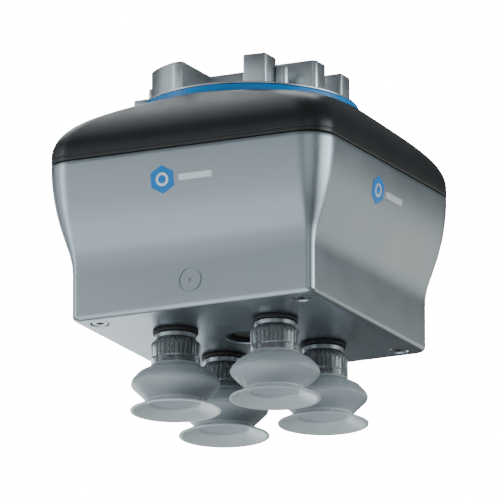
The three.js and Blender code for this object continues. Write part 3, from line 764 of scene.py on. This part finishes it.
def changer_screws():
    corners = [(0, -12), (1.5, -12), (1.5, -2.7), (3.7, -0.45), (3.7, -0.1), (0, -0.1)]
    profile = filleted(corners, [0, 0.1, 0, 0.1, 0.1, 0], 3)
    for index, at in enumerate(changer_screw_places(), 1):
        screw = lathe(f"changer_screw_{index}_look", profile, 48, at)
        cut(screw, [socket_cutter(at, 1.35, -1.6, 1)])
        placed(screw, "steel", f"changer_screw_{index}")


def contacts():
    near, far = CONTACT_Y - 4.5, CONTACT_Y + 4.5
    block = bevelled(box("contact_block_look", -13.1, 13.1, near, far, CHANGER_BOTTOM_Z, 3), 0.5)
    cut(block, [cylinder("hole", 0.95, -4, 4, (x, CONTACT_Y), 24) for x in CONTACT_XS])
    placed(block, "black_insulator", "contact_block")
    pins = [box("plate", -14.5, 14.5, CONTACT_Y - 6.5, CONTACT_Y + 6.5, -4.85, -3.65)]
    profile = [(0, -4), (0.75, -4), (0.75, 2.4), (0.5, 2.5), (0.5, 3.1), (0.35, 3.35), (0, 3.4)]
    pins += [lathe("pin", profile, 24, (x, CONTACT_Y, 0)) for x in CONTACT_XS]
    placed(merged("contact_pins", pins), "contact_brass", "contact_board")


# ---------- Underside ----------


def corner_screws():
    low, seat, end = SCREW_HEAD_Z, SCREW_HEAD_Z + 1.5, BASE_Z + 16
    corners = [(0, low), (2.7, low), (2.7, seat), (1.5, seat), (1.5, end), (0, end)]
    profile = filleted(corners, [0, 0.25, 0, 0, 0, 0], 4)
    for index, (x, y) in enumerate(CORNERS, 1):
        at = (x * CORNER_HOLE, y * CORNER_HOLE, 0)
        screw = lathe(f"corner_screw_{index}_look", profile, 48, at)
        cut(screw, [socket_cutter(at, 1.45, low - 1, low + 1.3)])
        placed(screw, "steel", f"corner_screw_{index}")


def vent():
    low, high = BASE_Z + 0.2, BASE_Z + 2.9
    # The black ring lines the wall of the recess: painted shade, a dark part standing where that wall lies in
    # shadow.
    profile = [(6.3, low), (7.2, low), (7.2, high), (6.3, high), (6.3, low)]
    placed(lathe("vent_painted_shade_ring", profile, 72), "black_insulator", "vent_insert")
    disc = cylinder("vent_disc", 6, BASE_Z + 1.9, high, segments=72)
    placed(disc, "sintered_filter", "vent_filter")


# ---------- Cup stations ----------


def splined(radius, z, angle):
    """Ribs along the lower part of the nipple."""
    if radius != NIPPLE_RADIUS or z > RIBS_TOP:
        return radius
    return radius - RIB_HEIGHT + RIB_HEIGHT * math.cos(angle * RIBS)


def fitting(index, at):
    bore = [(2.4, 9), (2.4, -11.3)]
    nipple = [
        (NIPPLE_RADIUS, -11.3), (6.5, -10.5), (NIPPLE_RADIUS, -9.3), (NIPPLE_RADIUS, -3.9), (5.6, -3.6),
        (5.6, -3.0),
    ]
    flange = [(6.45, -3.0), (6.6, -2.85), (6.6, -1.65), (6.45, -1.5)]
    stud = [(4.85, -1.5), (4.85, 9), (2.4, 9)]
    piece = lathe(f"cup_fitting_{index}_look", [*bore, *nipple, *flange, *stud], 192, at, splined)
    placed(piece, "machined_aluminium", f"cup_fitting_{index}")
    piece.data.materials.append(NIPPLE.material)
    for face in piece.data.polygons:
        face.material_index = int(face.center.z < (BASE_Z + FLANGE_BOTTOM) * MM)


def washer(index, at):
    profile = [(5.15, -1.3), (7.35, -1.3), (7.35, -0.15), (5.15, -0.15), (5.15, -1.3)]
    piece = lathe(f"seal_washer_{index}_look", filleted(profile, [0, 0.4, 0.3, 0, 0], 5), 72, at)
    placed(piece, "seal_rubber", f"seal_washer_{index}")


CUP_PROFILE = [
    # radius, depth, fillet: up the inside from the lip's rim, then down the outside
    (14.6, -26.5, 0), (13.7, -26.5, 0.05), (8.05, -24.45, 0.6), (7.75, -23.6, 0.3), (8.7, -22.7, 0.3),
    (13.2, -18.1, 0.9), (12.9, -16.8, 0.8), (11.6, -15.3, 1.5), (7.3, -12.5, 0.5), (6.95, -11.8, 0.2),
    (6.95, -9.6, 0.2), (5.8, -8.9, 0.2), (5.8, -3.4, 0.1), (6.8, -3.4, 0.2), (8.0, -4.6, 0.6),
    (8.0, -11.9, 0.5), (9.0, -12.6, 0.4), (11.9, -14.1, 2.0), (13.9, -16.3, 1.0), (14.45, -17.6, 0.7),
    (14.1, -18.6, 0.5), (9.55, -23.1, 0.7), (9.3, -23.7, 0.4), (14.6, -26.1, 0.05), (14.6, -26.5, 0),
]


def cup(index, at):
    """A bellows cup: a clear neck, a cloudy fold and a paler lip."""
    profile = filleted([p[:2] for p in CUP_PROFILE], [p[2] for p in CUP_PROFILE], 4)
    piece = lathe(f"cup_{index}", profile, 120, at)
    dress(piece, "cup_silicone")
    for look in (NECK, LIP, CUP_INSIDE_PAINTED_LIGHT):
        piece.data.materials.append(look.material)
    centre = Vector(at[:2]) * MM
    for face in piece.data.polygons:
        depth = face.center.z / MM - BASE_Z
        outward = face.normal.xy.dot(face.center.xy - centre) > 0
        if depth > NECK_END:
            face.material_index = 1
        elif depth < LIP_START:
            face.material_index = 2
        # Faces turned inwards take the paler, glowing copy: painted light inside the cup.
        elif not outward:
            face.material_index = 3
    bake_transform(piece)
    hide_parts(f"cup_bellows_{index}", f"cup_lip_{index}")


def cup_stations():
    for index, (x, y) in enumerate(CORNERS, 1):
        at = (x * CUP_OFFSET, y * CUP_OFFSET, BASE_Z)
        fitting(index, at)
        washer(index, at)
        cup(index, at)


# ---------- Badges ----------


def on_wall(name, outline, turn, lift=0.12):
    """A thin plate that follows the curved wall. The outline is (along the wall, height above the seam)."""
    slices = 6
    work = bmesh.new()
    flat = [work.verts.new((x, 0, z)) for x, z in outline]
    work.faces.new(flat)
    low, high = min(z for _, z in outline), max(z for _, z in outline)
    for i in range(1, slices):
        z = low + (high - low) * i / slices
        geometry = work.verts[:] + work.edges[:] + work.faces[:]
        bmesh.ops.bisect_plane(work, geom=geometry, plane_co=(0, 0, z), plane_no=(0, 0, 1))
    solid = bmesh.ops.extrude_face_region(work, geom=work.faces[:])
    front = {v for v in solid["geom"] if isinstance(v, bmesh.types.BMVert)}
    for vertex in work.verts:
        reach = side_half(-vertex.co.z) + (lift if vertex in front else -0.05)
        vertex.co = (vertex.co.x, -reach, vertex.co.z + SEAM_Z)
    bmesh.ops.recalc_face_normals(work, faces=work.faces)
    mesh = bpy.data.meshes.new(name)
    bmesh.ops.scale(work, vec=(MM, MM, MM), verts=work.verts)
    bmesh.ops.rotate(work, cent=(0, 0, 0), matrix=Matrix.Rotation(turn, 3, "Z"), verts=work.verts)
    work.to_mesh(mesh)
    work.free()
    obj = linked(name, mesh)
    shaded(mesh, 30)
    return obj


def round_outline(x, radius):
    """A circle of 48 points on the badge's level."""
    angles = [math.pi / 24 * i for i in range(48)]
    return [(x + radius * math.cos(a), BADGE_Z + radius * math.sin(a)) for a in angles]


def badge(face, turn, x):
    """A plain six-sided badge with a ring on it, and a blank bar beside it."""
    corners = [math.pi / 3 * i for i in range(6)]
    radius = BADGE_RADIUS
    hexagon = [(x + radius * math.sin(a), BADGE_Z + radius * math.cos(a)) for a in corners]
    placed(on_wall(f"badge_{face}", hexagon, turn), "blue_ring", look=BADGE_BLUE)
    outer = on_wall(f"badge_ring_{face}", round_outline(x, BADGE_RING), turn, 0.17)
    placed(outer, "aluminium_housing", look=BADGE_GREY)
    inner = on_wall(f"badge_centre_{face}", round_outline(x, BADGE_CENTRE), turn, 0.2)
    placed(inner, "blue_ring", look=BADGE_BLUE)
    left, right = x + BADGE_BAR["start"], x + BADGE_BAR["end"]
    low, high = BADGE_Z - BADGE_BAR["half"], BADGE_Z + BADGE_BAR["half"]
    bar = [(left, low), (right, low), (right, high), (left, high)]
    placed(on_wall(f"badge_bar_{face}", bar, turn), "aluminium_housing", look=BADGE_GREY)


# ---------- Studio ----------


def direction(azimuth, elevation):
    """The unit vector from the part outwards; azimuth 0 is in front of it and 90 at its right."""
    a, e = math.radians(azimuth), math.radians(elevation)
    return Vector((math.sin(a) * math.cos(e), -math.cos(a) * math.cos(e), math.sin(e)))


def camera(azimuth=25.94, elevation=-15.26, lens=1400.0, width=160.4, target=(0.16, -46.5)):
    """The main view: from the front right, looking up, with so long a lens that lines stay parallel."""
    turn = math.radians(azimuth)
    right = Vector((math.cos(turn), math.sin(turn), 0))
    back = direction(azimuth, elevation)
    data = bpy.data.cameras.new("camera")
    data.sensor_width = 36.0
    data.lens = lens
    data.clip_end = 50.0
    obj = linked("camera", data)
    centre = right * (target[0] * MM) + Vector((0, 0, target[1] * MM))
    obj.location = centre + back * (width * MM * lens / data.sensor_width)
    obj.rotation_euler = back.to_track_quat("Z", "Y").to_euler()
    bpy.context.scene.camera = obj


def soft_box(name, azimuth, elevation, distance, size, radiance, colour):
    """A soft box that faces the part. Its distance and size are in metres."""
    out = direction(azimuth, elevation)
    data = bpy.data.lights.new(name, "AREA")
    data.shape = "RECTANGLE"
    data.size, data.size_y = size
    data.energy = radiance * math.pi * size[0] * size[1]
    data.color = colour
    obj = linked(name, data)
    obj.location = Vector((0, 0, -0.05)) + out * distance
    obj.rotation_euler = out.to_track_quat("Z", "Y").to_euler()


def world(horizon, zenith, nadir, white):
    """A soft surround for the reflections; the camera itself sees plain white."""
    made = bpy.data.worlds.new("studio")
    made.use_nodes = True
    bpy.context.scene.world = made
    tree = made.node_tree
    background = tree.nodes["Background"]
    coordinates = tree.nodes.new("ShaderNodeTexCoord")
    split = tree.nodes.new("ShaderNodeSeparateXYZ")
    span = tree.nodes.new("ShaderNodeMapRange")
    span.inputs["From Min"].default_value = -1.0
    ramp = tree.nodes.new("ShaderNodeValToRGB")
    ramp.color_ramp.elements[0].color = (*nadir, 1)
    ramp.color_ramp.elements[1].color = (*zenith, 1)
    middle = ramp.color_ramp.elements.new(0.5)
    middle.color = (*horizon, 1)
    tree.links.new(coordinates.outputs["Generated"], split.inputs[0])
    tree.links.new(split.outputs["Z"], span.inputs["Value"])
    tree.links.new(span.outputs["Result"], ramp.inputs["Fac"])
    tree.links.new(ramp.outputs["Color"], background.inputs["Color"])
    backdrop = tree.nodes.new("ShaderNodeBackground")
    backdrop.inputs["Color"].default_value = (1, 1, 1, 1)
    backdrop.inputs["Strength"].default_value = white
    path = tree.nodes.new("ShaderNodeLightPath")
    mix = tree.nodes.new("ShaderNodeMixShader")
    tree.links.new(path.outputs["Is Camera Ray"], mix.inputs["Fac"])
    tree.links.new(background.outputs[0], mix.inputs[1])
    tree.links.new(backdrop.outputs[0], mix.inputs[2])
    tree.links.new(mix.outputs[0], tree.nodes["World Output"].inputs["Surface"])


def floor():
    """Far below the part, because the camera looks up at it in mid-air."""
    z = -1900.0
    half = 6000.0
    corners = [(x * half, y * half, z) for x, y in CORNERS]
    plane = mesh_object("floor", corners, [(0, 1, 2, 3)])
    look = Look("floor_paint", (0.85, 0.85, 0.85), 0.7)
    look.bumped(look.noise(4.0), 0.2, 0.2)
    plane.data.materials.append(look.material)


COOL = (0.9, 0.98, 1.0)
WARM = (1.0, 1.0, 0.9)
SOFT_BOXES = [
    # name, azimuth, elevation, distance, size, radiance, colour
    ("front", -25, -8, 1.2, (1.25, 1.3), 0.7, COOL),
    ("front_low", -30, -28, 1.1, (0.9, 0.5), 0.68, COOL),
    ("front_left", -56, 2, 1.2, (0.26, 1.2), 3.8, COOL),
    ("front_right", 30, 5, 1.2, (0.75, 0.9), 0.75, COOL),
    ("corner", 98, 5, 1.2, (0.95, 0.75), 3.2, COOL),
    ("corner_edge", 113, 8, 1.2, (0.22, 0.6), 4.0, COOL),
    ("behind_right", 153, -7, 1.2, (0.58, 0.66), 1.02, WARM),
    ("below_left", -128, -12, 0.3, (0.24, 0.3), 2.2, COOL),
    ("behind_left", -140, 46, 1.0, (0.65, 0.45), 2.4, COOL),
    ("top", -98, 60, 1.1, (1.0, 0.6), 1.0, COOL),
    ("left", -84, 2, 1.2, (0.4, 1.2), 0.9, COOL),
    ("below", -20, -65, 1.2, (1.1, 1.1), 1.7, COOL),
]


def studio():
    camera()
    side, up = (0.062, 0.066, 0.07), (0.15, 0.155, 0.16)
    world(horizon=side, zenith=up, nadir=side, white=20.0)
    for box_settings in SOFT_BOXES:
        soft_box(*box_settings)
    floor()


# ---------- Assembly ----------

for entry in frame["record"]["subparts"]:
    node = frame["nodes"][entry["node"]]
    node.data.materials.clear()
    node.data.materials.append(LOOKS[entry["material_slot"]].material)

housing()
cover()
accent_ring()
changer()
changer_screws()
contacts()
corner_screws()
vent()
cup_stations()
badge("front", 0.0, -7.0)
badge("right", math.pi / 2, -7.4)
studio()
